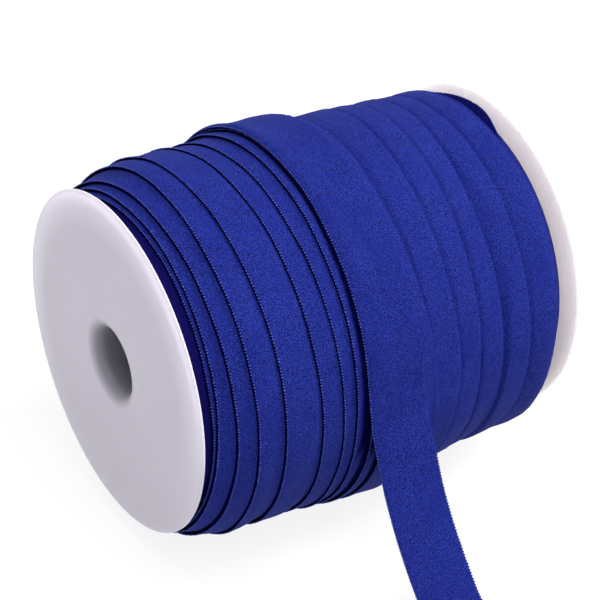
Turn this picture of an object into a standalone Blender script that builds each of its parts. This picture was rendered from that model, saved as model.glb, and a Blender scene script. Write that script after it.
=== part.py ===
"""Roll of fold-over elastic: a flat elastic band wound on a moulded plastic spool.

Two moulded end plates plug into the ends of a plain barrel. The band is wound
on the barrel in overlapping turns, and its last turn comes over the top,
leaves the roll at the front, hangs down and lies on the ground.

Frame: metres, +Z up. X is the spool's axis, near plate at -X. The origin is on
the ground under the middle of the spool, at the small flat spot that the roll
rests on. The front of the roll, where the loose end leaves it, faces -Y.
Angles round the roll start at the front and go up: 0 front, 90 top, 180 back.
"""
import math
from collections import namedtuple

import bpy
import bmesh

MM = 0.001

# ---------------------------------------------------------------- dimensions
SPOOL_LENGTH = 107.4 * MM          # outer face to outer face
PLATE_RADIUS = 42.6 * MM
PLATE_WALL = 1.35 * MM
PLATE_FLAT_RADIUS = 31.0 * MM      # the outer face is flat as far as this
CROWN_RADIUS = 42.3 * MM           # from there it falls away to here
CROWN_FALL = 0.75 * MM
CROWN_POWER = 2.1
BORE_RADIUS = 8.2 * MM
BORE_LIP = 3.5 * MM                # rounding where the bore opens
PLUG_RADIUS = 12.4 * MM
PLUG_DEPTH = 14.2 * MM             # outer face to the end of the plug
BARREL_OUTER = 14.7 * MM
BARREL_INNER = 12.7 * MM
GAP = 0.3 * MM                     # between pieces that touch
WINDING_BORE = 15.0 * MM
AXIS_HEIGHT = 47.7 * MM            # the roll's flat spot to the spool's axis
SAG_ANGLE = -63.0                  # the turns hang loosest towards this side
BACKSET = 0.5 * MM                 # the turns sit this much towards the back
BAND_WIDTH = 15.0 * MM
BAND_THICKNESS = 1.0 * MM
FOLD_HALF = 1.1 * MM               # half the width of the fold line
FOLD_DEPTH = 0.15 * MM
STRIP_LEFT = 41.7 * MM             # left edge of the last turn, from the near face
STRIP_START = 210.0                # where the last turn comes out of the roll
TAIL_END = -120.0 * MM             # the cut end, along Y

PLATE_STEPS = 64
WINDING_STEPS = 60

# The wound form, a row for each section along the axis: the distance from the
# near plate's outer face, the mean radius, and how far the turns sag there.
# Pairs of rows close together are the edges of the shingled turns.
Section = namedtuple("Section", "x radius sag")
WINDING = [
    Section(1.7, 37.0, 0.0),
    Section(2.9, 41.1, 0.5),
    Section(3.9, 42.0, 0.7),
    Section(4.2, 42.8, 0.8),
    Section(5.8, 43.5, 0.8),
    Section(8.0, 44.0, 0.8),
    Section(8.4, 44.6, 0.9),
    Section(12.8, 45.6, 0.8),
    Section(13.2, 46.0, 0.8),
    Section(16.8, 46.5, 0.8),
    Section(19.6, 46.3, 0.6),
    Section(20.0, 46.5, 0.6),
    Section(24.3, 46.6, 0.8),
    Section(29.3, 46.2, 0.9),
    Section(29.7, 46.4, 1.1),
    Section(34.9, 46.4, 1.4),
    Section(35.3, 46.7, 1.4),
    Section(39.0, 46.9, 1.2),
    Section(39.4, 47.2, 1.2),
    Section(42.4, 47.3, 1.2),
    Section(48.3, 47.3, 1.3),
    Section(56.7, 47.3, 1.5),
    Section(58.3, 47.4, 2.1),
    Section(61.3, 46.9, 2.3),
    Section(66.2, 46.4, 2.3),
    Section(66.6, 46.2, 2.2),
    Section(74.3, 45.7, 1.8),
    Section(74.7, 45.4, 1.7),
    Section(81.5, 44.8, 1.5),
    Section(81.9, 44.5, 1.3),
    Section(90.1, 44.5, 1.7),
    Section(90.5, 44.2, 1.6),
    Section(96.3, 44.2, 1.6),
    Section(99.8, 43.7, 1.8),
    Section(100.9, 43.3, 1.6),
    Section(101.3, 42.2, 1.2),
    Section(103.7, 41.0, 0.6),
    Section(105.6, 37.0, 0.0),
]

# The loose end after it leaves the roll, a row for each point of its inner
# face: forward of the axis, and below it.
Reach = namedtuple("Reach", "forward down")
HANG = [
    Reach(49.3, 6.5),
    Reach(51.3, 12.5),
    Reach(53.6, 18.3),
    Reach(56.6, 24.2),
    Reach(60.1, 29.6),
    Reach(63.9, 34.6),
    Reach(67.8, 39.4),
    Reach(71.3, 43.6),
    Reach(75.3, 46.6),
    Reach(80.0, 47.7),
    Reach(90.0, 47.7),
    Reach(105.0, 47.7),
]


# ---------------------------------------------------------------- helpers
def clear_scene():
    for obj in list(bpy.data.objects):
        bpy.data.objects.remove(obj, do_unlink=True)


def material(name, colour, roughness, metallic=0.0):
    mat = bpy.data.materials.new(name)
    mat.use_nodes = True
    shader = mat.node_tree.nodes["Principled BSDF"]
    shader.inputs["Base Color"].default_value = (*colour, 1.0)
    shader.inputs["Roughness"].default_value = roughness
    shader.inputs["Metallic"].default_value = metallic
    return mat


def add_object(name, mesh, mat, parent, collection):
    obj = bpy.data.objects.new(name, mesh)
    obj.data.materials.append(mat)
    obj.parent = parent
    collection.objects.link(obj)
    return obj


def smooth(mesh, angle=30.0):
    mesh.shade_smooth()
    mesh.set_sharp_from_angle(angle=math.radians(angle))


def arc(centre_r, centre_h, radius_r, radius_h, start, end, count):
    """Points of a quarter ellipse or part of one, angles in degrees."""
    points = []
    for i in range(count + 1):
        a = math.radians(start + (end - start) * i / count)
        points.append((centre_r + radius_r * math.cos(a), centre_h + radius_h * math.sin(a)))
    return points


def turned(name, profile, steps, mat, parent, collection):
    """A closed profile of (radius, height) turned round the object's Z axis."""
    mesh = bpy.data.meshes.new(name)
    verts = [(r, 0.0, h) for r, h in profile]
    edges = [(i, (i + 1) % len(profile)) for i in range(len(profile))]
    mesh.from_pydata(verts, edges, [])
    obj = add_object(name, mesh, mat, parent, collection)
    screw = obj.modifiers.new("Turn", "SCREW")
    screw.axis = "Z"
    screw.angle = math.tau
    screw.steps = steps
    screw.render_steps = steps
    screw.use_merge_vertices = True
    screw.merge_threshold = 0.00001
    screw.use_smooth_shade = True
    return obj


def plate_profile():
    """Section of an end plate: outer face at height 0, the plug downwards."""
    profile = []
    for share in (0.0, 0.3, 0.55, 0.75, 0.9, 1.0):
        r = PLATE_FLAT_RADIUS + (CROWN_RADIUS - PLATE_FLAT_RADIUS) * share
        profile.append((r, -CROWN_FALL * share ** CROWN_POWER))
    profile.append((PLATE_RADIUS, -PLATE_WALL + 0.35 * MM))
    profile.append((PLATE_RADIUS - 0.2 * MM, -PLATE_WALL))
    profile.append((PLUG_RADIUS, -PLATE_WALL))
    profile.append((PLUG_RADIUS, -PLUG_DEPTH))
    profile.append((BORE_RADIUS, -PLUG_DEPTH))
    profile.extend(arc(BORE_RADIUS + BORE_LIP, -BORE_LIP, BORE_LIP, BORE_LIP, 180, 90, 5))
    return profile


def bridge(bm, rings):
    """Skin a closed chain of rings of equal count; the last joins the first."""
    count = len(rings[0])
    for a, b in zip(rings, rings[1:] + rings[:1]):
        for i in range(count):
            j = (i + 1) % count
            bm.faces.new((a[i], b[i], b[j], a[j]))


def wound_radius(row, angle):
    """Radius of the wound form in one section, angle in degrees."""
    turn = math.radians(angle - SAG_ANGLE)
    return row.radius * MM + row.sag * MM * math.cos(turn) - BACKSET * math.sin(turn) * (row.sag > 0)


def winding_mesh():
    bm = bmesh.new()
    half = SPOOL_LENGTH / 2

    def ring(x, radius_at):
        verts = []
        for i in range(WINDING_STEPS):
            angle = 360.0 * i / WINDING_STEPS
            r = radius_at(angle)
            y = -r * math.cos(math.radians(angle))
            z = AXIS_HEIGHT + r * math.sin(math.radians(angle))
            verts.append(bm.verts.new((x - half, y, max(z, 0.0))))
        return verts

    rings = [ring(WINDING[0].x * MM, lambda a: WINDING_BORE)]
    for row in WINDING:
        rings.append(ring(row.x * MM, lambda a, row=row: wound_radius(row, a)))
    rings.append(ring(WINDING[-1].x * MM, lambda a: WINDING_BORE))
    bridge(bm, rings)
    bmesh.ops.recalc_face_normals(bm, faces=bm.faces)
    mesh = bpy.data.meshes.new("winding")
    bm.to_mesh(mesh)
    bm.free()
    smooth(mesh)
    return mesh


def under_strip(angle):
    """Largest radius of the wound form under the last turn."""
    return max(wound_radius(row, angle) for row in WINDING
               if STRIP_LEFT - 1.0 * MM < row.x * MM < STRIP_LEFT + BAND_WIDTH + 1.0 * MM)


def catmull(points, per_span):
    """Smooth curve through the points, straight at both ends."""
    out = []
    ext = [tuple(2 * a - b for a, b in zip(points[0], points[1]))] + points
    ext.append(tuple(2 * a - b for a, b in zip(points[-1], points[-2])))
    for i in range(1, len(ext) - 2):
        p0, p1, p2, p3 = ext[i - 1:i + 3]
        for k in range(per_span):
            t = k / per_span
            out.append(tuple(
                0.5 * (2 * b + (c - a) * t + (2 * a - 5 * b + 4 * c - d) * t * t
                       + (3 * b - a - 3 * c + d) * t ** 3)
                for a, b, c, d in zip(p0, p1, p2, p3)))
    out.append(points[-1])
    return out


def strip_path():
    """Inner face of the last turn and loose end, as points in the YZ plane."""
    path = []
    angle = STRIP_START
    while angle > 0.5:
        r = under_strip(angle) + GAP + 0.1 * MM
        path.append((-r * math.cos(math.radians(angle)), AXIS_HEIGHT + r * math.sin(math.radians(angle))))
        angle -= 7.5
    r = under_strip(0.0) + GAP + 0.1 * MM
    free = [(-r, AXIS_HEIGHT)]
    free += [(-row.forward * MM, max(AXIS_HEIGHT - row.down * MM, 0.0)) for row in HANG]
    free.append((TAIL_END, 0.0))
    return path + [(y, max(z, 0.0)) for y, z in catmull(free, 2)]


def strip_mesh():
    """Flat band with its fold line, swept along its path."""
    half = BAND_WIDTH / 2
    section = [(-half, 0.0), (half, 0.0), (half, BAND_THICKNESS),
               (FOLD_HALF, BAND_THICKNESS), (FOLD_HALF * 0.5, BAND_THICKNESS - FOLD_DEPTH),
               (-FOLD_HALF * 0.5, BAND_THICKNESS - FOLD_DEPTH), (-FOLD_HALF, BAND_THICKNESS),
               (-half, BAND_THICKNESS)]
    path = strip_path()
    centre = STRIP_LEFT + half - SPOOL_LENGTH / 2
    bm = bmesh.new()
    rings = []
    for i, (y, z) in enumerate(path):
        ya, za = path[max(i - 1, 0)]
        yb, zb = path[min(i + 1, len(path) - 1)]
        length = math.hypot(yb - ya, zb - za)
        ty, tz = (yb - ya) / length, (zb - za) / length
        ny, nz = tz, -ty            # the band's outer side
        rings.append([bm.verts.new((centre + u, y + ny * v, z + nz * v)) for u, v in section])
    for a, b in zip(rings, rings[1:]):
        for i in range(len(section)):
            j = (i + 1) % len(section)
            bm.faces.new((a[i], b[i], b[j], a[j]))
    bm.faces.new(rings[0])
    bm.faces.new(rings[-1][::-1])
    bmesh.ops.recalc_face_normals(bm, faces=bm.faces)
    mesh = bpy.data.meshes.new("loose_end")
    bm.to_mesh(mesh)
    bm.free()
    smooth(mesh)
    return mesh


# ---------------------------------------------------------------- the part
def main():
    clear_scene()
    collection = bpy.data.collections.new("roll_of_fold_over_elastic")
    bpy.context.scene.collection.children.link(collection)

    root = bpy.data.objects.new("roll", None)
    collection.objects.link(root)

    white = (0.72, 0.71, 0.74)
    blue = (0.022, 0.036, 0.30)
    plate = plate_profile()

    near = turned("flange_near", plate, PLATE_STEPS, material("near_plate_white", white, 0.4), root, collection)
    near.location = (-SPOOL_LENGTH / 2, 0.0, AXIS_HEIGHT)
    near.rotation_euler = (0.0, math.radians(-90), 0.0)

    far = turned("flange_far", plate, PLATE_STEPS, material("far_plate_white", white, 0.4), root, collection)
    far.location = (SPOOL_LENGTH / 2, 0.0, AXIS_HEIGHT)
    far.rotation_euler = (0.0, math.radians(90), 0.0)

    half_barrel = SPOOL_LENGTH / 2 - PLATE_WALL - GAP
    tube = [(BARREL_OUTER, half_barrel), (BARREL_OUTER, -half_barrel),
            (BARREL_INNER, -half_barrel), (BARREL_INNER, half_barrel)]
    barrel = turned("core_barrel", tube, 48, material("barrel_white", white, 0.5), root, collection)
    barrel.location = (0.0, 0.0, AXIS_HEIGHT)
    barrel.rotation_euler = (0.0, math.radians(90), 0.0)

    add_object("winding", winding_mesh(), material("wound_elastic", blue, 0.75), root, collection)
    add_object("loose_end", strip_mesh(), material("loose_elastic", blue, 0.75), root, collection)


main()
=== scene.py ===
"""Looks of the roll of fold-over elastic: every turn of the band that shows, its
picot edges and fold line, the loose end, and the moulded spool.

Lengths below are in millimetres in the spool's own measure: x along it (the
near plate's outer face is at NEAR_FACE), r from the spool's axis, and angles
round the roll from the front (0) over the top (90) to the back (180). place() turns them into the row
frame. The band is wound with the angle falling, so time runs front-wards over
the top, and the last turn leaves the roll at the front.
"""
import math

import bpy
import numpy as np
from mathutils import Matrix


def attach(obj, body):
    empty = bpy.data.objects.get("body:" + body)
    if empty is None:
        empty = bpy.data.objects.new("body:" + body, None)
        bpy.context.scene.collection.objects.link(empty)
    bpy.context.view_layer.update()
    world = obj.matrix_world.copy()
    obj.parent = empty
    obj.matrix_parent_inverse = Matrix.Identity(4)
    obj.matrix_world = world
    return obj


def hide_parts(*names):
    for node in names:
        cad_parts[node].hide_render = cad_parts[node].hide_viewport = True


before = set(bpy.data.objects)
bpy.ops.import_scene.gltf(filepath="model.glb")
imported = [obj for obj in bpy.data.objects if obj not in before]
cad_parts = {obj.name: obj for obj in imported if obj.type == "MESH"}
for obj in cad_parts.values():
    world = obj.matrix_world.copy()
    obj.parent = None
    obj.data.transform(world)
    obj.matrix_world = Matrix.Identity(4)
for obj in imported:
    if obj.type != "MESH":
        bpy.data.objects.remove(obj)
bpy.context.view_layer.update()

# ------------------------------------------------------------------ sizes
NEAR_FACE, FAR_FACE = 1.7, 109.1   # outer faces of the end plates
MIDDLE = (NEAR_FACE + FAR_FACE) / 2
AXIS_Z = 47.7               # the axis above the ground
SAG = -62.9                 # where the turns hang loosest
BACKSET = 0.5               # how far the wound turns sit to the back
BAND = 15.0                 # the band's width
THICK_A, THICK_B = 0.50, 0.72
STEPS = 180                 # stations in a turn
X0, X1, DX = 3.0, 109.0, 0.125
PITCH = 0.75                # picot to picot

XG = np.arange(X0, X1 + 1e-9, DX)
ANGLES = np.arange(STEPS) * 360.0 / STEPS

# The wound form under the turns that show: x, mean radius, sag.
FORM = np.array([
    (3.0, 38.90, 0.00), (4.6, 39.80, 0.20), (6.4, 40.60, 0.60), (9.5, 41.45, 1.15), (14.0, 42.93, 0.72),
    (20.0, 43.05, 0.75), (26.0, 45.35, 1.05), (32.0, 44.75, 1.40), (38.0, 45.10, 1.45),
    (44.0, 44.90, 1.40), (50.0, 43.55, 1.55), (56.0, 45.40, 1.75), (60.0, 46.15, 1.50),
    (64.0, 45.80, 2.40), (70.0, 45.20, 2.10), (77.0, 44.49, 1.68), (84.0, 43.45, 1.77),
    (91.0, 42.20, 1.95), (97.0, 43.00, 1.95), (100.0, 43.15, 1.95), (101.8, 42.70, 1.40), (103.0, 41.90, 0.70),
    (104.2, 41.60, 0.10), (106.0, 41.00, -0.40), (109.0, 37.50, 0.00)])

# Right edge of the turns laid from the far plate towards the middle: turn, angle, x.
RIGHT_EDGES = [
    (-1, 190, 102.2), (-1, 140, 102.0), (-1, 108, 102.2), (-1, 100, 105.6), (-1, 94, 107.4), (-1, 86, 107.2),
    (-1, 80, 106.2), (-1, 75, 104.0), (-1, 69, 102.2), (-1, 40, 102.0), (-1, 10, 100.6), (-1, -30, 99.8),
    (-1, -62, 101.2), (-1, -130, 102.2),
    (0, 140, 101.4), (0, 100, 102.0), (0, 88, 102.2), (0, 74, 101.6), (0, 62, 102.6), (0, 42, 103.0), (0, 29, 102.6),
    (0, 14, 101.7), (0, 3, 100.9), (0, -11, 100.2), (0, -30, 99.8), (0, -62, 101.2), (0, -130, 102.4),
    (1, 140, 100.6), (1, 95, 100.8), (1, 78, 100.8), (1, 60, 101.6), (1, 42, 102.2), (1, 20, 101.5), (1, 0, 100.3),
    (1, -30, 99.6), (1, -62, 100.8), (1, -110, 101.8),
    (2, 150, 96.5), (2, 110, 94.5), (2, 60, 93.0), (2, 0, 92.2), (2, -60, 92.0),
    (3, 150, 91.2), (3, 98, 88.0), (3, 70, 86.0), (3, 45, 84.4), (3, 0, 84.0), (3, -60, 83.6),
    (4, 150, 83.0), (4, 108, 82.2), (4, 80, 79.6), (4, 55, 78.4), (4, 35, 77.2), (4, 0, 76.8), (4, -60, 76.4),
    (5, 150, 75.8), (5, 110, 74.5), (5, 90, 73.0), (5, 65, 71.0), (5, 40, 70.1), (5, 0, 70.0), (5, -30, 69.0),
    (5, -60, 68.4),
    (6, 150, 66.5), (6, 110, 64.0), (6, 90, 62.8), (6, 45, 61.2), (6, 0, 60.4), (6, -60, 60.0),
    (7, 150, 57.5), (7, 90, 55.0), (7, 0, 53.0)]

# Left edge of the turns laid from the near plate towards the middle: turn, angle, x.
LEFT_EDGES = [
    (-1, 120, 3.5), (-1, 0, 3.5), (-1, -120, 3.5),
    (0, 120, 4.6), (0, 95, 5.3), (0, 80, 5.9), (0, 68, 6.4), (0, 58, 6.6), (0, 40, 6.5), (0, 15, 6.0), (0, 2, 5.75),
    (0, -8, 5.45), (0, -18, 5.2), (0, -40, 4.9), (0, -120, 4.9),
    (1, 150, 5.6), (1, 110, 6.2), (1, 80, 7.1), (1, 66, 7.5), (1, 54, 7.5), (1, 30, 7.2), (1, 5, 6.65), (1, -8, 6.2),
    (1, -16, 5.65), (1, -30, 5.35), (1, -45, 5.0), (1, -90, 5.0),
    (2, 150, 7.4), (2, 110, 8.6), (2, 85, 9.6), (2, 60, 10.1), (2, 30, 10.6), (2, 10, 10.6), (2, -10, 10.2),
    (2, -24, 9.5), (2, -40, 8.8), (2, -90, 9.4),
    (3, 150, 13.0), (3, 110, 14.0), (3, 60, 14.6), (3, 20, 15.0), (3, -40, 14.9), (3, -90, 16.0),
    (4, 150, 19.2), (4, 115, 20.0), (4, 60, 21.1), (4, 20, 22.0), (4, -30, 22.4), (4, -90, 24.6),
    (5, 150, 28.4), (5, 115, 29.6), (5, 85, 30.8), (5, 40, 31.5), (5, 0, 32.0), (5, -40, 32.5), (5, -90, 33.0),
    (6, 150, 34.3), (6, 110, 35.5), (6, 85, 36.4), (6, 40, 37.1), (6, 0, 37.4), (6, -40, 37.9), (6, -90, 38.6),
    (7, 150, 39.6), (7, 110, 40.5), (7, 80, 41.0), (7, 0, 40.9), (7, -40, 41.0), (7, -90, 41.8),
    (8, 150, 43.6), (8, 110, 43.9), (8, 60, 44.2), (8, 0, 44.4), (8, -25, 44.8), (8, -60, 44.0), (8, -90, 43.8),
    (9, 150, 44.2), (9, 110, 44.6), (9, 60, 45.4), (9, 0, 47.6), (9, -25, 48.7), (9, -60, 48.6), (9, -90, 48.0),
    (10, 180, 44.6), (10, 150, 43.6), (10, 115, 43.3), (10, 90, 43.9), (10, 60, 43.7), (10, 30, 43.4),
    (10, 0, 43.3), (10, -30, 43.3)]

# The loose end below the point where it leaves the roll, its outer face:
# down from the axis, forward of it at the left edge, and at the right edge.
HANG = np.array([
    (0.0, 48.9, 49.0), (5.0, 49.6, 50.3), (10.0, 50.9, 52.2), (15.0, 52.8, 54.3), (20.0, 54.7, 56.4),
    (25.0, 57.3, 58.9), (30.0, 60.2, 62.0), (35.0, 63.8, 65.8), (40.0, 67.8, 69.9), (43.5, 71.3, 73.2)])

# Half section of the band, left edge to the fold line: across, and height as a
# share of the thickness. The right half mirrors it. Both edges curl up a little,
# so a slit stays open under them.
HALF_TOP = [(0.02, 0.56), (0.00, 0.70), (0.06, 0.85), (0.20, 0.95), (0.50, 1.00), (1.20, 1.00), (2.40, 1.00),
            (3.80, 1.00), (5.20, 1.00), (6.20, 1.00), (6.55, 0.99), (6.78, 0.96), (7.10, 0.94)]
BOTTOM = [(14.88, 0.49), (14.50, 0.40), (13.90, 0.18), (13.20, 0.0), (11.5, 0.0), (7.5, 0.0), (3.5, 0.0),
          (1.80, 0.0), (1.10, 0.18), (0.50, 0.40), (0.12, 0.49)]
# The turns laid from the far plate are pressed down: their right edges fade out.
PRESSED = [(15.0, 0.28), (14.93, 0.38), (14.78, 0.46), (14.5, 0.56), (13.8, 0.78), (12.6, 0.95), (11.2, 1.0)]


def section():
    """Closed section of the band: across and height share, top left to right, then back underneath."""
    top = HALF_TOP + [(7.5, 0.94)] + [(BAND - u, v) for u, v in reversed(HALF_TOP)]
    return np.array(top + BOTTOM)


def pressed_section():
    """The same with its right edge pressed down."""
    s = section()
    n_top = len(HALF_TOP) * 2 + 1
    us, vs = np.array(PRESSED)[::-1].T
    right = s[:, 0] > us[0]
    flat = np.interp(s[:, 0], us, vs)
    top = np.arange(len(s)) < n_top
    s[:, 1] = np.where(right & top, np.minimum(s[:, 1], flat), s[:, 1])
    s[n_top - 1, 1] = 0.20
    s[:, 1] = np.where(right & ~top, 0.04, s[:, 1])
    return s


# ------------------------------------------------------------------ winding
def smoothed(a, width, step=DX):
    n = int(round(3 * width / step))
    k = np.exp(-0.5 * (np.arange(-n, n + 1) * step / width) ** 2)
    k /= k.sum()
    return np.convolve(np.pad(a, n, "edge"), k, "valid")


def ripple(a, *waves):
    """Small unevenness of hand-like winding: sum of waves (length, size, phase)."""
    return sum(size * np.sin(math.tau * a / length + phase) for length, size, phase in waves)


def wound_form():
    r = smoothed(np.interp(XG, FORM[:, 0], FORM[:, 1]), 1.5)
    s = smoothed(np.interp(XG, FORM[:, 0], FORM[:, 2]), 1.5)
    turn = np.radians(ANGLES - SAG)[:, None]
    return r[None, :] + s[None, :] * np.cos(turn) - BACKSET * np.sin(turn)


def edge_path(keys, start, end, shift=0.0):
    """Stations of a run of turns: wound angle and the band's left edge."""
    at = np.array([360.0 * t - a for t, a, _ in keys])
    x = np.array([k[2] for k in keys])
    order = np.argsort(at)
    run = np.arange(start, end + 1e-9, 360.0 / STEPS)
    left = smoothed(np.interp(run, at[order], x[order]), 7.0, 360.0 / STEPS)
    left = left + ripple(run, (47.0, 0.05, 0.4), (83.0, 0.07, 1.9), (29.0, 0.03, 2.2))
    return run, left + shift


SLOPE = 0.45                # the steepest the band leans across its width


def lay(height, run, left, thick, across, ends=(24.0, 0.0), lift=None):
    """Lays a run of turns on the height map, in order, and returns the height
    under the band at each station, and the band's thickness there."""
    under = np.zeros((len(run), len(across)))
    t_all = np.zeros(len(run))
    for n, (p, x) in enumerate(zip(run, left)):
        i = int(round((-p) % 360 / (360.0 / STEPS))) % STEPS
        a = max(int(math.ceil((x - X0) / DX)), 0)
        b = min(int(math.floor((x + BAND - X0) / DX)), len(XG) - 1)
        col = height[i, a:b + 1]
        t = thick
        if ends[0]:
            t = t * min(1.0, 0.05 + (p - run[0]) / ends[0])
        if ends[1]:
            t = t * min(1.0, 0.05 + (run[-1] - p) / ends[1])
        soft = smoothed(col, 1.6)
        bottom = smoothed(np.maximum(soft, col), 0.6)
        bottom = np.maximum(bottom, col - 0.10)
        lean = np.arange(len(col)) * DX * SLOPE
        bottom = np.maximum(np.maximum.accumulate(bottom + lean) - lean,
                            np.maximum.accumulate((bottom - lean)[::-1])[::-1] + lean)
        xs = XG[a:b + 1]
        if lift is not None:
            bottom = np.maximum(bottom + np.interp(xs - x, *lift(p)), col - 0.05)
        height[i, a:b + 1] = bottom + t
        under[n] = np.interp(x + across, xs, bottom)
        t_all[n] = t
    return under, t_all


def pucker(p):
    """The band doesn't lie perfectly flat: slow swells across and along it."""
    u = np.linspace(0.0, BAND, 16)
    h = (0.035 * np.sin(math.tau * (p / 31.0 + u / 11.0)) + 0.030 * np.sin(math.tau * (p / 57.0 - u / 8.0) + 1.1)
         + 0.020 * np.sin(math.tau * (p / 19.0) + u * 0.9))
    return u, h


SEC = section()
SEC_PRESSED = pressed_section()
height = wound_form()
inner_form = height.copy()
run_a, left_a = edge_path(RIGHT_EDGES, -550, 2520, -BAND)
under_a, thick_a = lay(height, run_a, left_a, THICK_A, SEC[:, 0], ends=(24.0, 40.0), lift=pucker)
run_b, left_b = edge_path(LEFT_EDGES, -480, 3600)
SPLIT = int(round((3076 + 480) / (360.0 / STEPS)))
under_b, thick_b = lay(height, run_b, left_b, THICK_B, SEC[:, 0], ends=(24.0, 0.0), lift=pucker)
outer = height


def along(a, n=1.6):
    """Smooths along the stations."""
    return np.apply_along_axis(lambda v: smoothed(v, n, 1.0), 0, a)


under_a, under_b = along(under_a), along(under_b)


def place(x, angle, r):
    """Spool measure to the row frame, in metres. The roll is pressed flat where it rests."""
    x, angle, r = np.broadcast_arrays(np.asarray(x, float), np.asarray(angle, float), np.asarray(r, float))
    ia = (angle % 360.0) / (360.0 / STEPS)
    i0 = np.floor(ia).astype(int) % STEPS
    i1 = (i0 + 1) % STEPS
    fa = ia - np.floor(ia)
    jx = np.clip((x - X0) / DX, 0, len(XG) - 1.001)
    j0 = np.floor(jx).astype(int)
    fx = jx - j0
    top = ((outer[i0, j0] * (1 - fa) + outer[i1, j0] * fa) * (1 - fx)
           + (outer[i0, j0 + 1] * (1 - fa) + outer[i1, j0 + 1] * fa) * fx)
    s = np.sin(np.radians(angle))
    limit = np.where(s < -0.2, AXIS_Z / np.maximum(-s, 0.2), 1e3)
    base = top - 9.0
    squeeze = np.where(top > limit, (limit - base) / (top - base), 1.0)
    r = np.where(r > base, base + (r - base) * squeeze, r)
    y = -r * np.cos(np.radians(angle))
    z = np.maximum(AXIS_Z + r * s, 0.0)
    return np.stack([x - MIDDLE, y, z], -1) * 0.001


# ------------------------------------------------------------------ meshes
def add(name, verts, faces_n, loops, uvs=None, cover=None, material=None, slot=None, node=None, sharp=None):
    """Object from arrays: corner counts of the faces, corner vertices, and a UV for each corner."""
    mesh = bpy.data.meshes.new(name)
    mesh.vertices.add(len(verts))
    mesh.vertices.foreach_set("co", np.asarray(verts, np.float32).ravel())
    mesh.loops.add(len(loops))
    mesh.loops.foreach_set("vertex_index", np.asarray(loops, np.int32))
    mesh.polygons.add(len(faces_n))
    starts = np.concatenate([[0], np.cumsum(faces_n)[:-1]]).astype(np.int32)
    mesh.polygons.foreach_set("loop_start", starts)
    mesh.polygons.foreach_set("loop_total", np.asarray(faces_n, np.int32))
    mesh.update(calc_edges=True)
    if uvs is not None:
        layer = mesh.uv_layers.new(name="band")
        layer.data.foreach_set("uv", np.asarray(uvs, np.float32).ravel())
    # second set of texture corners: masks of the painted shade
    if cover is not None:
        layer = mesh.uv_layers.new(name="cover")
        layer.data.foreach_set("uv", np.asarray(cover, np.float32).ravel())
    mesh.validate()
    mesh.shade_smooth()
    if sharp:
        mesh.set_sharp_from_angle(angle=math.radians(sharp))
    obj = bpy.data.objects.new(name, mesh)
    bpy.context.scene.collection.objects.link(obj)
    if material:
        mesh.materials.append(material)
    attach(obj, "root")
    if node:
        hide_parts(node)
    return obj


def volume(points, quads):
    a, b, c, d = (points[quads[:, k]] for k in range(4))
    return (np.einsum("ij,ij->i", a, np.cross(b, c)) + np.einsum("ij,ij->i", a, np.cross(c, d))).sum()


def skin(name, grid, u, s, closed=False, cover=None, end=None, **kw):
    """Closed skin over rings of points. grid is rings x points x 3; u has one
    value more than a ring has points, s one a ring (one more if closed). The
    second set of texture corners holds the painted shade masks: the gap shade
    for each ring and point, and the end shade, one value a ring."""
    n, m, _ = grid.shape
    rings = n if closed else n - 1
    i, j = np.meshgrid(np.arange(rings), np.arange(m), indexing="ij")
    i1, j1 = (i + 1) % n, (j + 1) % m
    quads = np.stack([i * m + j, i * m + j1, i1 * m + j1, i1 * m + j], -1).reshape(-1, 4)
    uv = np.stack([np.stack([u[j], s[i]], -1), np.stack([u[j + 1], s[i]], -1),
                   np.stack([u[j + 1], s[i + 1] if len(s) > rings else s[i1]], -1),
                   np.stack([u[j], s[i + 1] if len(s) > rings else s[i1]], -1)], -2).reshape(-1, 4, 2)
    points = grid.reshape(-1, 3)
    if cover is not None:
        cover = np.stack([cover, np.broadcast_to(0.0 if end is None else end[:, None], cover.shape)], -1)
        cover = np.stack([cover[i, j], cover[i, j1], cover[i1, j1], cover[i1, j]], -2).reshape(-1, 4, 2)
    flip = volume(points, quads) < 0
    if flip:
        quads, uv = quads[:, ::-1], uv[:, ::-1]
        cover = None if cover is None else cover[:, ::-1]
    counts, loops, uvs = [4] * len(quads), quads.ravel(), uv.reshape(-1, 2)
    if not closed:
        first, last = np.arange(m), (n - 1) * m + np.arange(m)
        cap_a, cap_b = (first, last[::-1]) if flip else (first[::-1], last)
        counts += [m, m]
        loops = np.concatenate([loops, cap_a, cap_b])
        ua, ub = u[cap_a % m], u[cap_b % m]
        uvs = np.concatenate([uvs, np.stack([ua, np.full(m, s[0])], -1), np.stack([ub, np.full(m, s[-1])], -1)])
    if cover is not None:
        cover = np.concatenate([cover.reshape(-1, 2), np.full((len(loops) - cover.size // 2, 2), -9.0)])
    return add(name, points, counts, loops, uvs, cover, **kw)


def arc_length(run, r):
    return np.concatenate([[0.0], np.cumsum(np.radians(np.diff(run)) * (r[1:] + r[:-1]) / 2)])


def gap_shade_mask(run, left, reach):
    """Mask of the painted gap shade: how far each point of the left turns' section
    is in under the turn that covers it, as a share of reach (how far out the
    painted shade comes). The underside counts as covered. The last turn leaves
    the roll and hangs in front of it, so its painted shade goes on a little past there."""
    turn, n_top = STEPS, len(HALF_TOP) * 2 + 1
    u = SEC[None, :, 0]
    value = np.full((len(run), len(SEC)), -9.0)
    for k in (1, 2, 3):
        edge = np.full(len(run), left[-1])
        edge[:-k * turn] = left[k * turn:]
        into = (edge - left)[:, None]
        v = np.minimum((u - into) / reach[:, None], (into + BAND + 0.1 - u) / 0.9 - 1.0)
        v = np.minimum(v, ((3622.0 - run - 360.0 * k) / 12.0 - 1.0)[:, None])
        value = np.maximum(value, v)
    value = np.clip(value, -9.0, 3.0)
    value[:, n_top:] = 3.0
    return value


# Corners across the band for the texture: left to right on top, back underneath.
SEC_U = np.concatenate([SEC[:, 0], SEC[:1, 0]]) * 0.001


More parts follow.
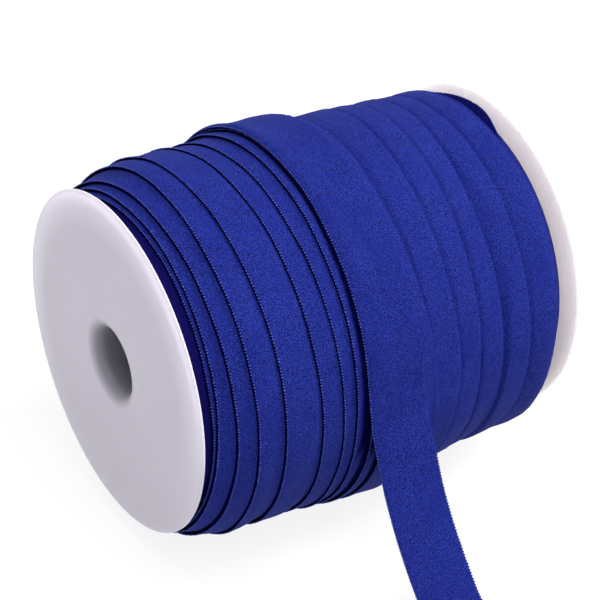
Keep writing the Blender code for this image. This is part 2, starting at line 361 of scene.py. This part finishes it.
def bead_shape():
    """A small rounded loop: six-sided, two rings and two poles."""
    pts = [(0.0, 0.0, 1.0)]
    for lat in (0.45, -0.45):
        for k in range(6):
            a = math.tau * (k + (0.5 if lat < 0 else 0.0)) / 6
            c = math.sqrt(1 - lat * lat)
            pts.append((c * math.cos(a), c * math.sin(a), lat))
    pts.append((0.0, 0.0, -1.0))
    tris = [(0, 1 + k, 1 + (k + 1) % 6) for k in range(6)]
    tris += [(1 + k, 7 + k, 1 + (k + 1) % 6) for k in range(6)]
    tris += [(1 + (k + 1) % 6, 7 + k, 7 + (k + 1) % 6) for k in range(6)]
    tris += [(13, 7 + (k + 1) % 6, 7 + k) for k in range(6)]
    return np.array(pts), np.array(tris)


BEAD, BEAD_TRIS = bead_shape()


def beads(name, centres, tangents, outwards, normals, size, **kw):
    """Picot loops as one joined mesh. size is (along, out, up) half sizes in millimetres."""
    rng = np.random.default_rng(7)
    n = len(centres)
    vary = 1.0 + 0.16 * rng.standard_normal((n, 3)).clip(-2, 2)
    loc = BEAD[None, :, :] * (np.array(size)[None, :] * vary)[:, None, :] * 0.001
    pts = (centres[:, None, :] + loc[..., 0:1] * tangents[:, None, :] + loc[..., 1:2] * outwards[:, None, :]
           + loc[..., 2:3] * normals[:, None, :])
    pts[..., 2] = np.maximum(pts[..., 2], 0.0)
    tris = (BEAD_TRIS[None, :, :] + (np.arange(n) * len(BEAD))[:, None, None]).reshape(-1, 3)
    handed = np.einsum("ij,ij->i", np.cross(tangents, outwards), normals)
    flip = np.repeat(handed < 0, len(BEAD_TRIS))
    tris[flip] = tris[flip][:, ::-1]
    return add(name, pts.reshape(-1, 3), [3] * len(tris), tris.ravel(), None, **kw)


def picots(name, grid, side, first=0, last=None, **kw):
    """Picot loops along one edge of a band, from its rings of points."""
    n_top = len(HALF_TOP) * 2 + 1
    at, inner = (1, 6) if side == "left" else (n_top - 2, n_top - 7)
    line = grid[first:last, at] * 0.55 + grid[first:last, 2 if side == "left" else n_top - 3] * 0.45
    inside = grid[first:last, inner]
    step = np.linalg.norm(np.diff(line, axis=0), axis=1)
    s = np.concatenate([[0.0], np.cumsum(step)])
    marks = np.arange(PITCH, s[-1] * 1000 - PITCH, PITCH) * 0.001

    def at_marks(a):
        return np.stack([np.interp(marks, s, a[:, k]) for k in range(3)], -1)

    centres = at_marks(line)
    tangents = at_marks(np.gradient(line, axis=0))
    tangents /= np.linalg.norm(tangents, axis=1)[:, None]
    out = centres - at_marks(inside)
    out -= np.einsum("ij,ij->i", out, tangents)[:, None] * tangents
    out /= np.linalg.norm(out, axis=1)[:, None]
    return beads(name, centres + out * 0.00003, tangents, out, np.cross(tangents, out), (0.23, 0.24, 0.19), **kw)


# ------------------------------------------------------------------ materials
class Graph:
    """Short hand for building a material's nodes."""

    def __init__(self, name):
        self.mat = bpy.data.materials.new(name)
        self.mat.use_nodes = True
        self.tree = self.mat.node_tree
        self.tree.nodes.clear()
        self.out = self.node("ShaderNodeOutputMaterial")
        self.shader = self.node("ShaderNodeBsdfPrincipled")
        self.link(self.shader.outputs["BSDF"], self.out.inputs["Surface"])

    def node(self, kind, **props):
        n = self.tree.nodes.new(kind)
        for k, v in props.items():
            setattr(n, k, v)
        return n

    def link(self, a, b):
        self.tree.links.new(a, b)

    def put(self, socket, value):
        if isinstance(value, bpy.types.NodeSocket):
            self.link(value, socket)
        else:
            socket.default_value = value

    def math(self, op, a, b=0.0, c=0.0, clamp=False):
        n = self.node("ShaderNodeMath", operation=op, use_clamp=clamp)
        for k, v in enumerate((a, b, c)):
            self.put(n.inputs[k], v)
        return n.outputs[0]

    def noise(self, vector, scale, detail=2.0, rough=0.5, distort=0.0):
        n = self.node("ShaderNodeTexNoise")
        self.put(n.inputs["Vector"], vector)
        n.inputs["Scale"].default_value = scale
        n.inputs["Detail"].default_value = detail
        n.inputs["Roughness"].default_value = rough
        n.inputs["Distortion"].default_value = distort
        return n.outputs["Fac"]

    def ramp(self, value, low, high, to_low=0.0, to_high=1.0, smooth=True):
        n = self.node("ShaderNodeMapRange", interpolation_type="SMOOTHSTEP" if smooth else "LINEAR")
        self.put(n.inputs["Value"], value)
        for k, v in (("From Min", low), ("From Max", high), ("To Min", to_low), ("To Max", to_high)):
            n.inputs[k].default_value = v
        return n.outputs["Result"]

    def mix(self, fac, a, b, kind="MIX"):
        n = self.node("ShaderNodeMix", data_type="RGBA", blend_type=kind)
        self.put(n.inputs["Factor"], fac)
        self.put(n.inputs[6], a)
        self.put(n.inputs[7], b)
        return n.outputs[2]

    def bump(self, height, distance, strength=1.0, normal=None):
        n = self.node("ShaderNodeBump")
        n.inputs["Strength"].default_value = strength
        n.inputs["Distance"].default_value = distance
        self.link(height, n.inputs["Height"])
        if normal is not None:
            self.link(normal, n.inputs["Normal"])
        return n.outputs["Normal"]


BLUE_DEEP = (0.0015, 0.0026, 0.054, 1.0)
BLUE = (0.0053, 0.0100, 0.134, 1.0)
BLUE_LIGHT = (0.0200, 0.035, 0.262, 1.0)


# painted shade: the colour of the yarn in under the next turn and in the gap beside it
PAINTED_GAP_SHADE = (0.0010, 0.0013, 0.034, 1.0)
PAINTED_END_SHADE = (0.0050, 0.0032, 0.066, 1.0)    # painted shade on the innermost turn, beside the plate
# painted highlight: the picots are a lighter copy of the blue
PICOT_DEEP = (0.009, 0.015, 0.150, 1.0)
PICOT = (0.034, 0.050, 0.300, 1.0)
PICOT_LIGHT = (0.105, 0.140, 0.520, 1.0)


def elastic(name, knit=True, tone=1.0, shades=(BLUE_DEEP, BLUE, BLUE_LIGHT), gap_shade=0.0, end=1.0,
            rim=0.04):
    """Satin knit of the band. With knit, the pattern follows the band's own
    length and width (the UVs are in metres); without, it is the bare yarn.
    tone makes lighter or darker copies of the yarn. The remaining arguments
    set painted light: the painted shade in the gaps under the turns, the
    painted shade on the innermost turn, and the painted highlight along the
    band's edges."""
    g = Graph(name)
    co = g.node("ShaderNodeTexCoord")
    space = co.outputs["Object"]
    fine = g.noise(space, 5200.0, 1.0, 0.5)
    mid = g.noise(space, 640.0, 2.0, 0.5)
    slow = g.noise(space, 75.0, 3.0, 0.55)
    deep, base, light = (tuple(c * tone for c in b[:3]) + (1.0,) for b in shades)
    speck = g.ramp(fine, 0.34, 0.66)
    if knit:
        sep = g.node("ShaderNodeSeparateXYZ")
        g.link(co.outputs["UV"], sep.inputs[0])
        u = g.math("MULTIPLY", sep.outputs[0], 1000.0)
        v = g.math("MULTIPLY", sep.outputs[1], 1000.0)
        # fine diagonal ribs of the satin face, broken up by the stitches
        wob = g.math("MULTIPLY", g.math("SUBTRACT", mid, 0.5), 0.40)
        diag = g.math("ADD", g.math("ADD", g.math("MULTIPLY", u, 1.75), g.math("MULTIPLY", v, 1.50)), wob)
        rib = g.math("SINE", g.math("MULTIPLY", diag, math.tau))
        course = g.math("SINE", g.math("MULTIPLY", g.math("ADD", v, g.math("MULTIPLY", wob, 0.4)), math.tau / 0.47))
        wale = g.math("SINE", g.math("MULTIPLY", u, math.tau / 0.53))
        cell = g.math("MULTIPLY", course, wale)
        # patches where the stitches stand out more, and where they lie down
        stand = g.ramp(g.noise(space, 120.0, 3.0, 0.6), 0.34, 0.62, 0.55, 1.0)
        # fold line: a wide band of herringbone down the middle
        off = g.math("ABSOLUTE", g.math("SUBTRACT", u, 7.5))
        fold = g.ramp(off, 0.7, 1.5, 1.0, 0.0)
        groove = g.ramp(off, 0.05, 0.35, 1.0, 0.0)
        chain = g.math("SINE", g.math("MULTIPLY", g.math("ADD", v, g.math("MULTIPLY", off, 0.75)), math.tau / 0.66))
        # painted highlight: the band is lighter along both its edges
        edge = g.ramp(g.math("MINIMUM", u, g.math("SUBTRACT", 15.0, u)), 0.10, 0.70, 1.0, 0.0)
        h = g.math("ADD", g.math("MULTIPLY", rib, 0.22), g.math("MULTIPLY", cell, 0.30))
        h = g.math("ADD", h, g.math("MULTIPLY", speck, 0.60))
        h = g.math("MULTIPLY", h, stand)
        h = g.math("ADD", h, g.math("MULTIPLY", g.math("MULTIPLY", chain, fold), 0.14))
        h = g.math("SUBTRACT", h, g.math("MULTIPLY", groove, 0.25))
        grain = g.math("ADD", g.math("MULTIPLY", g.math("SUBTRACT", speck, 0.5), 1.10),
                       g.math("ADD", g.math("MULTIPLY", rib, 0.15), g.math("MULTIPLY", cell, 0.22)))
        tone_f = g.math("ADD", g.math("MULTIPLY", grain, stand), 0.47)
        tone_f = g.math("ADD", tone_f, g.math("MULTIPLY", g.math("SUBTRACT", slow, 0.5), 0.22))
        tone_f = g.math("ADD", tone_f, g.math("MULTIPLY", g.math("MULTIPLY", chain, fold), 0.05))
        # painted shade in the fold line's crease
        tone_f = g.math("SUBTRACT", tone_f, g.math("MULTIPLY", groove, 0.05))
        # painted highlight along the edges
        tone_f = g.math("ADD", tone_f, g.math("MULTIPLY", edge, rim), clamp=True)
    else:
        h = speck
        tone_f = g.math("ADD", g.math("MULTIPLY", speck, 0.6), g.math("MULTIPLY", slow, 0.3), clamp=True)
    low = g.mix(g.ramp(tone_f, 0.0, 0.5, smooth=False), deep, base)
    colour = g.mix(g.ramp(tone_f, 0.45, 1.0, smooth=False), low, light)
    if gap_shade:
        # painted shade: the yarn in under the next turn, and in the gap beside it, is darkened; so is the innermost
        # turn beside the plate
        sep = g.node("ShaderNodeSeparateXYZ")
        g.link(g.node("ShaderNodeUVMap", uv_map="cover").outputs["UV"], sep.inputs[0])
        rough_gap_shade = g.math("ADD", sep.outputs[0], g.math("MULTIPLY", g.math("SUBTRACT", mid, 0.5), 0.35))
        shade = (PAINTED_END_SHADE[0] * end ** 2, PAINTED_END_SHADE[1] * end ** 2, PAINTED_END_SHADE[2] * end, 1.0)
        dim, dark = g.math("MULTIPLY", sep.outputs[1], 0.90, clamp=True), g.ramp(rough_gap_shade, -1.0, -0.30, 0.0, gap_shade)
        colour = g.mix(dark, g.mix(dim, colour, shade), PAINTED_GAP_SHADE)
        # the painted shade has no sheen or gloss
        shine = g.math("MULTIPLY", g.math("SUBTRACT", 1.0, g.math("MAXIMUM", dim, dark)), 0.05)
    s = g.shader
    g.link(colour, s.inputs["Base Color"])
    s.inputs["Roughness"].default_value = 0.80
    for socket in ("Specular IOR Level", "Sheen Weight"):
        if gap_shade:
            g.link(shine, s.inputs[socket])
        else:
            s.inputs[socket].default_value = 0.05
    s.inputs["Sheen Roughness"].default_value = 0.40
    s.inputs["Sheen Tint"].default_value = (0.16, 0.24, 1.0, 1.0)
    g.link(g.bump(h, 0.00012, 0.65), s.inputs["Normal"])
    return g.mat


def plastic(name, colour, rough=0.42, depth=0.0, bore=None, scale=0.003, rim=None):
    """Moulded white plastic: faint flow marks, dust specks and a soft skin. depth
    is how strongly light passes through the thin wall."""
    g = Graph(name)
    co = g.node("ShaderNodeTexCoord")
    space = co.outputs["Object"]
    cloud = g.noise(space, 38.0, 3.0, 0.5)
    grain = g.noise(space, 900.0, 2.0, 0.6)
    speck = g.ramp(g.noise(space, 260.0, 1.0, 0.5), 0.77, 0.81)
    tone = g.mix(g.ramp(cloud, 0.3, 0.7), tuple(c * 0.975 for c in colour) + (1.0,), tuple(colour) + (1.0,))
    tone = g.mix(g.math("MULTIPLY", speck, 0.25), tone, (0.42, 0.40, 0.42, 1.0))
    sep = g.node("ShaderNodeSeparateXYZ")
    g.link(space, sep.inputs[0])
    up = g.math("SUBTRACT", sep.outputs[2], AXIS_Z * 0.001)
    r = g.math("SQRT", g.math("ADD", g.math("MULTIPLY", sep.outputs[1], sep.outputs[1]), g.math("MULTIPLY", up, up)))
    if rim:
        # painted shade: the far plate darker towards its rim, and more so low down
        tone = g.mix(g.ramp(r, 0.0370, 0.0425), tone, tuple(c * rim for c in colour) + (1.0,))
        tone = g.mix(g.ramp(sep.outputs[2], 0.018, 0.062, 0.9, 0.1), tone, tuple(c * rim * 0.55 for c in colour) + (1.0,))
    if bore:
        # painted shade: the bore's wall is darker the deeper it goes
        deep = g.math("SUBTRACT", (FAR_FACE - MIDDLE) * 0.001, g.math("ABSOLUTE", sep.outputs[0]))
        fac = g.math("MULTIPLY", g.ramp(r, 0.0100, 0.0120, 1.0, 0.0), g.ramp(deep, -0.0010, 0.0016))
        tone = g.mix(fac, tone, bore)
        # painted highlight: lighter towards the rim, most of all high up
        painted_rim_light = g.math("MULTIPLY", g.ramp(r, 0.0325, 0.0412), g.ramp(sep.outputs[2], 0.010, 0.062, 0.15, 1.0))
        tone = g.mix(painted_rim_light, tone, tuple(c * 1.27 for c in colour) + (1.0,))
        # painted shade on the rim's bead
        tone = g.mix(g.ramp(r, 0.0412, 0.0426, 0.0, 0.80), tone, tuple(c * 0.80 for c in colour) + (1.0,))
        # painted shade: darker low down
        tone = g.mix(g.ramp(sep.outputs[2], 0.0, 0.055, 0.8, 0.0), tone, tuple(c * 0.87 for c in colour) + (1.0,))
    s = g.shader
    g.link(tone, s.inputs["Base Color"])
    g.link(g.ramp(grain, 0.2, 0.8, rough - 0.05, rough + 0.06, smooth=False), s.inputs["Roughness"])
    s.inputs["Specular IOR Level"].default_value = 0.40
    s.inputs["Subsurface Weight"].default_value = depth
    s.inputs["Subsurface Radius"].default_value = (1.0, 0.95, 0.95)
    s.inputs["Subsurface Scale"].default_value = scale
    waves = g.bump(cloud, 0.00045, 0.25)
    g.link(g.bump(grain, 0.00002, 0.35, waves), s.inputs["Normal"])
    return g.mat


# the left turns and the loose end: painted gap shade at full strength
band_left = elastic("elastic_turns_left", gap_shade=1.0)
# the right turns: weaker painted gap shade, darker painted shade on the innermost turn, stronger painted highlight on
# the edges
band_right = elastic("elastic_turns_right", gap_shade=0.30, end=0.45, rim=0.16)
band_loose = elastic("elastic_loose_end", gap_shade=1.0)
# a darker copy of the yarn for the wound body: painted shade
under_mat_shaded = elastic("elastic_under_turns_shaded", knit=False, tone=0.8)
# picots: a lighter copy of the yarn, painted highlight
picot_highlight_mat = elastic("elastic_picots", knit=False, shades=(PICOT_DEEP, PICOT, PICOT_LIGHT))
# a lighter copy of the yarn: painted highlight
picot_soft_highlight = elastic("elastic_picots_pressed_highlight", knit=False, tone=1.35)
# near plate: painted shade deep in the bore, on the rim's bead and low down; painted highlight towards the rim, most
# high up
white = plastic("spool_white", (0.500, 0.470, 0.550), depth=1.0, bore=(0.20, 0.19, 0.235, 1.0))
# a darker copy of the white for the far plate: painted shade, more at its rim and low down
white_far_shaded = plastic("spool_white_far_shaded", (0.430, 0.405, 0.440), depth=1.0, scale=0.008, rim=0.62)
# a darker copy of the white for the core's inside: painted shade
white_inside_shaded = plastic("spool_inside_shaded", (0.30, 0.29, 0.34), 0.5)


# ------------------------------------------------------------------ the wound body under the turns
# radius at its first and last sections, inside the ends of the turns that show
END_RADIUS = {0: 15.0, 1: 26.0, 2: 36.0, 3: 39.2, 4: 40.7, -4: 41.0, -3: 39.0, -2: 36.5, -1: 15.0}


def under_body():
    xs = [3.4, 3.4, 3.4, 3.7, 4.2] + list(np.arange(5.0, 102.1, 1.0)) + [102.6, 103.6, 105.6, 107.3, 107.3]
    rows = []
    for k, x in enumerate(xs):
        j = int(round((np.clip(x, X0, X1) - X0) / DX))
        full = inner_form[:, j] - 0.04
        if k in END_RADIUS:
            r = np.minimum(full, END_RADIUS[k])
        elif k - len(xs) in END_RADIUS:
            r = np.minimum(full, END_RADIUS[k - len(xs)])
        else:
            r = full
        rows.append(place(x, ANGLES, r))
    grid = np.stack(rows, 1)
    u = np.linspace(0, 1, grid.shape[1] + 1)
    s = np.linspace(0, 1, STEPS + 1)
    return skin("wound_body", grid, u, s, closed=True, material=under_mat_shaded, slot="elastic", node="winding")


under_body()

# ------------------------------------------------------------------ the turns that show
grid_a = place(left_a[:, None] + SEC[None, :, 0], (-run_a)[:, None],
               under_a + SEC_PRESSED[None, :, 1] * thick_a[:, None])
s_a = arc_length(run_a, (under_a + thick_a[:, None]).mean(1))
# here the covering turn's right edge shows, and painted shade softly darkens the step beside it
next_a = np.full(len(run_a), -9.0)
next_a[:-STEPS] = left_a[STEPS:] + BAND - left_a[:-STEPS]
painted_shade_a = np.clip((next_a[:, None] - SEC[None, :, 0]) / 2.2, -9.0, 1.0)
# the innermost turn gets the painted end shade
turns_right = skin("turns_right", grid_a, SEC_U, s_a * 0.001, cover=painted_shade_a,
                   end=np.interp(run_a, (-130.0, -90.0), (1.0, 0.0)), material=band_right, slot="elastic",
                   node="winding")
picots("picots_right", grid_a, "right", material=picot_soft_highlight, slot="elastic", node="winding")

EDGE_CURL = 0.10             # how far the cut edge stands off the turn below
r_b = under_b + SEC[None, :, 1] * thick_b[:, None] + EDGE_CURL * np.exp(-(SEC[None, :, 0] / 1.3) ** 2)
grid_b_all = place(left_b[:, None] + SEC[None, :, 0], (-run_b)[:, None], r_b)
s_b_all = arc_length(run_b, (under_b + thick_b[:, None]).mean(1))
grid_b = grid_b_all[:SPLIT + 1]
# the painted shade in the gap beside the last, standing turn is wide; in the others it is narrow
reach_b = np.interp(run_b, (2400.0, 2560.0), (0.0, 2.1)) + 0.31 + 0.15 * np.cos(np.radians(-run_b + 10.0))
painted_shade_b = gap_shade_mask(run_b, left_b, reach_b)
# the innermost turn gets the painted end shade
turns_left = skin("turns_left", grid_b, SEC_U, s_b_all[:SPLIT + 1] * 0.001, cover=painted_shade_b[:SPLIT + 1],
                  end=np.interp(run_b[:SPLIT + 1], (-130.0, -90.0), (1.0, 0.0)), material=band_left, slot="elastic", node="winding")
picots("picots_left", grid_b, "left", material=picot_highlight_mat, slot="elastic", node="winding")
picots("picots_middle", grid_b, "right", first=SPLIT - 2 * STEPS, material=picot_soft_highlight, slot="elastic", node="winding")


# ------------------------------------------------------------------ last turn and loose end
LEAVES = 8.0                # angle where the band leaves the roll
LOOSE_THICK = 0.95
LAND = 80.5                 # forward of the axis where it meets the ground
TAIL = 119.9                # the cut end


def hermite(points, tangents, count):
    out = []
    for (p, q, m0, m1) in zip(points[:-1], points[1:], tangents[:-1], tangents[1:]):
        length = np.linalg.norm(q - p)
        for k in range(count):
            t = k / count
            h = (2 * t ** 3 - 3 * t ** 2 + 1, t ** 3 - 2 * t ** 2 + t, -2 * t ** 3 + 3 * t ** 2, t ** 3 - t ** 2)
            out.append(h[0] * p + h[1] * length * m0 + h[2] * q + h[3] * length * m1)
    out.append(points[-1])
    return np.array(out)


def loose_band():
    last = int(round((3600 - LEAVES + 480) / (360.0 / STEPS)))
    wound = grid_b_all[SPLIT:last + 1]
    t_end = thick_b[last]
    top_r = under_b[last] + t_end
    a = math.radians(LEAVES)
    r0 = top_r.mean()
    start = np.array([r0 * math.cos(a), -r0 * math.sin(a)])      # forward, down
    head = np.array([math.sin(a), math.cos(a)])
    floor = AXIS_Z - LOOSE_THICK
    mids = [np.array([(l + r) / 2, d]) for d, l, r in HANG[1:]]
    pts = [start] + mids + [np.array([76.2, 45.75]), np.array([LAND, floor]), np.array([LAND + 12, floor]),
                            np.array([LAND + 25, floor]), np.array([TAIL, floor])]
    tans = [head]
    for k in range(1, len(pts) - 1):
        v = pts[k + 1] - pts[k - 1]
        if pts[k][1] >= floor - 1e-6:
            v = np.array([1.0, 0.0])
        tans.append(v / np.linalg.norm(v))
    tans.append(np.array([1.0, 0.0]))
    line = hermite(pts, tans, 8)
    line[:, 1] = np.minimum(line[:, 1], floor)
    s = np.concatenate([[0.0], np.cumsum(np.linalg.norm(np.diff(line, axis=0), axis=1))])
    even = np.arange(0.0, s[-1] + 1e-6, 0.8)
    even[-1] = s[-1]
    line = np.stack([np.interp(even, s, line[:, k]) for k in range(2)], -1)
    for k in range(2):
        line[:, k] = smoothed(line[:, k], 1.2, 0.8) if k == 0 else np.minimum(smoothed(line[:, k], 1.2, 0.8), floor)
    line[0] = start
    tangent = np.gradient(line, axis=0)
    tangent /= np.linalg.norm(tangent, axis=1)[:, None]
    tangent[0] = head
    out = np.stack([tangent[:, 1], -tangent[:, 0]], -1)            # forward, down of the outer side
    lean_at = np.interp(line[:, 1], HANG[:, 0], HANG[:, 2] - HANG[:, 1])
    far = even
    lean = lean_at * np.clip(far / 12.0, 0, 1) * (1 - np.clip((line[:, 0] - 71.5) / 9.0, 0, 1)) ** 1.5
    settle = np.clip((line[:, 0] - 74.0) / 8.0, 0, 1)
    u = SEC[:, 0]
    across = (u / BAND - 0.5)[None, :]
    t = t_end + (LOOSE_THICK - t_end) * np.clip(far / 30.0, 0, 1)
    dtop = (top_r - r0)[None, :] * ((1 - np.clip(far / 22.0, 0, 1)) ** 2)[:, None]
    cup = 0.22 * (1 - (2 * across) ** 2) * (np.clip(far / 20.0, 0, 1) * (1 - settle))[:, None]
    off = (SEC[None, :, 1] - 1.0) * t[:, None] + dtop + cup
    fwd = line[:, None, 0] + out[:, None, 0] * off + lean[:, None] * across
    down = line[:, None, 1] + out[:, None, 1] * off
    x_end = left_b[last]
    drift = 0.15 * np.sin(far / 17.0) * np.clip(far / 20.0, 0, 1)
    x = x_end + drift[:, None] + u[None, :] - MIDDLE
    free = np.stack([x, -fwd, np.maximum(AXIS_Z - down, 0.0)], -1) * 0.001
    grid = np.concatenate([wound, free[1:]])
    cover = np.concatenate([painted_shade_b[SPLIT:last + 1], np.full(free[1:].shape[:2], -9.0)])
    s_wound = s_b_all[SPLIT:last + 1]
    s_all = np.concatenate([s_wound, s_wound[-1] + even[1:]])
    return grid, s_all, (s_all[-1] - s_all[0]), cover


grid_c, s_c, loose_length, painted_shade_c = loose_band()
loose = skin("loose_band", grid_c, SEC_U, s_c * 0.001, cover=painted_shade_c, material=band_loose, slot="elastic",
             node="loose_end")
picots("picots_loose_left", grid_c, "left", material=picot_highlight_mat, slot="elastic", node="loose_end")
picots("picots_loose_right", grid_c, "right", material=picot_soft_highlight, slot="elastic", node="loose_end")


# ------------------------------------------------------------------ spool
def arc(cr, cd, rr, rd, start, end, count):
    a = np.radians(np.linspace(start, end, count + 1))
    return list(zip(cr + rr * np.cos(a), cd - rd * np.sin(a)))


def plate_profile():
    """Section of an end plate: radius, and depth from its outer face. The face is
    flat to 31 mm, then crowns down to the rim."""
    p = [(r, 0.75 * ((r - 31.0) / 11.3) ** 2.1) for r in np.linspace(31.0, 42.3, 22)]
    p += [(42.44, 0.80), (42.54, 0.88), (42.60, 1.00), (42.58, 1.14), (42.50, 1.25), (42.38, 1.32), (42.2, 1.35)]
    p += [(41.0, 1.35), (36.0, 1.35), (31.0, 1.35), (24.0, 1.35), (18.0, 1.35), (13.0, 1.35), (12.5, 1.5),
          (12.4, 1.9), (12.4, 7.5), (12.4, 13.6), (12.2, 14.1), (11.8, 14.2), (9.0, 14.2), (8.5, 14.1), (8.2, 13.7),
          (8.2, 9.0), (8.2, 5.5)]
    p += arc(11.7, 3.5, 3.5, 3.5, 180, 90, 14)
    p += [(15.0, 0.0), (19.0, 0.0), (24.0, 0.0), (28.0, 0.0)]
    return np.array(p)


def plate(name, node, depth_to_x, nick, dip_depth, material):
    prof = plate_profile()
    near = np.linspace(-3.0, 3.0, 25)
    angles = np.concatenate([np.arange(3.0 + 1.4, 357.0, 1.4), near + 360.0])
    angles = np.sort(angles % 360.0)
    th = np.radians(angles + nick)
    r = np.broadcast_to(prof[:, 0], (len(th), len(prof))).copy()
    d = np.broadcast_to(prof[:, 1], r.shape).copy()
    away = (angles + 180.0) % 360.0 - 180.0
    dip = np.exp(-(away / 0.55) ** 4)[:, None]
    rim = np.clip((prof[:, 1] - 0.75) / 0.4, 0, 1)[None, :] * (prof[:, 0] > 40.0)[None, :]
    d = d - dip * rim * dip_depth
    # the moulding isn't dead true
    r = r * (1 + 0.0006 * np.sin(2 * th + 0.7)[:, None] * (prof[:, 0] > 30)[None, :])
    x = depth_to_x(d)
    grid = np.stack([x - MIDDLE, -r * np.cos(th)[:, None], AXIS_Z + r * np.sin(th)[:, None]], -1) * 0.001
    u = np.concatenate([[0.0], np.cumsum(np.ones(len(prof)))]) / len(prof)
    s = np.linspace(0, 1, len(th) + 1)
    return skin(name, grid, u, s, closed=True, material=material, slot="spool_plastic", node=node, sharp=50)


plate("plate_near", "flange_near", lambda d: NEAR_FACE + d, 98.0, 0.40, white)
plate("plate_far", "flange_far", lambda d: FAR_FACE + 0.45 - d, 99.0, 0.15, white_far_shaded)
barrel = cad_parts["core_barrel"]
barrel.data.materials.clear()
barrel.data.materials.append(white_inside_shaded)

# ------------------------------------------------------------------ stage, light, camera
scene = bpy.context.scene
scene.view_settings.view_transform = "Standard"
scene.view_settings.look = "None"
scene.view_settings.exposure = 0.0
scene.view_settings.gamma = 1.0


def floor():
    mesh = bpy.data.meshes.new("floor")
    w = 4.0
    mesh.from_pydata([(-w, -w, -0.0002), (w, -w, -0.0002), (w, w, -0.0002), (-w, w, -0.0002)], [], [(0, 1, 2, 3)])
    obj = bpy.data.objects.new("floor", mesh)
    scene.collection.objects.link(obj)
    g = Graph("floor_paper")
    co = g.node("ShaderNodeTexCoord")
    n = g.noise(co.outputs["Object"], 30.0, 2.0)
    g.link(g.mix(n, (0.125, 0.125, 0.130, 1.0), (0.135, 0.135, 0.140, 1.0)), g.shader.inputs["Base Color"])
    g.shader.inputs["Emission Color"].default_value = (1.0, 1.0, 1.0, 1.0)
    g.shader.inputs["Emission Strength"].default_value = 0.87
    g.shader.inputs["Roughness"].default_value = 0.9
    g.shader.inputs["Specular IOR Level"].default_value = 0.0
    mesh.materials.append(g.mat)


floor()

world = bpy.data.worlds.new("studio")
scene.world = world
world.use_nodes = True
world.node_tree.nodes["Background"].inputs["Color"].default_value = (1.0, 1.0, 1.0, 1.0)
world.node_tree.nodes["Background"].inputs["Strength"].default_value = 0.85


def area_light(name, at, to, size, power, colour=(1.0, 1.0, 1.0)):
    data = bpy.data.lights.new(name, "AREA")
    data.shape = "DISK"
    data.size = size
    data.energy = power
    data.color = colour
    obj = bpy.data.objects.new(name, data)
    scene.collection.objects.link(obj)
    from mathutils import Vector
    d = Vector(to) - Vector(at)
    obj.location = at
    obj.rotation_euler = d.to_track_quat("-Z", "Y").to_euler()
    return obj


area_light("key", (0.90, -0.36, 0.84), (0.0, 0.0, 0.05), 0.50, 17.4)
area_light("front_top", (-0.06, -0.66, 1.16), (0.0, 0.0, 0.05), 0.80, 9.5)

cam_data = bpy.data.cameras.new("camera")
cam_data.lens = 2137.03 * 36.0 / 600.0
cam_data.sensor_width = 36.0
cam_data.clip_start = 0.01
cam = bpy.data.objects.new("camera", cam_data)
scene.collection.objects.link(cam)
scene.camera = cam
az, el = math.radians(-32.36), math.radians(31.50)
cam.location = ((-187.07 - MIDDLE) * 0.001, -0.38187, (277.28 + AXIS_Z) * 0.001)
cam.rotation_euler = (math.pi / 2 - el, 0.0, az)
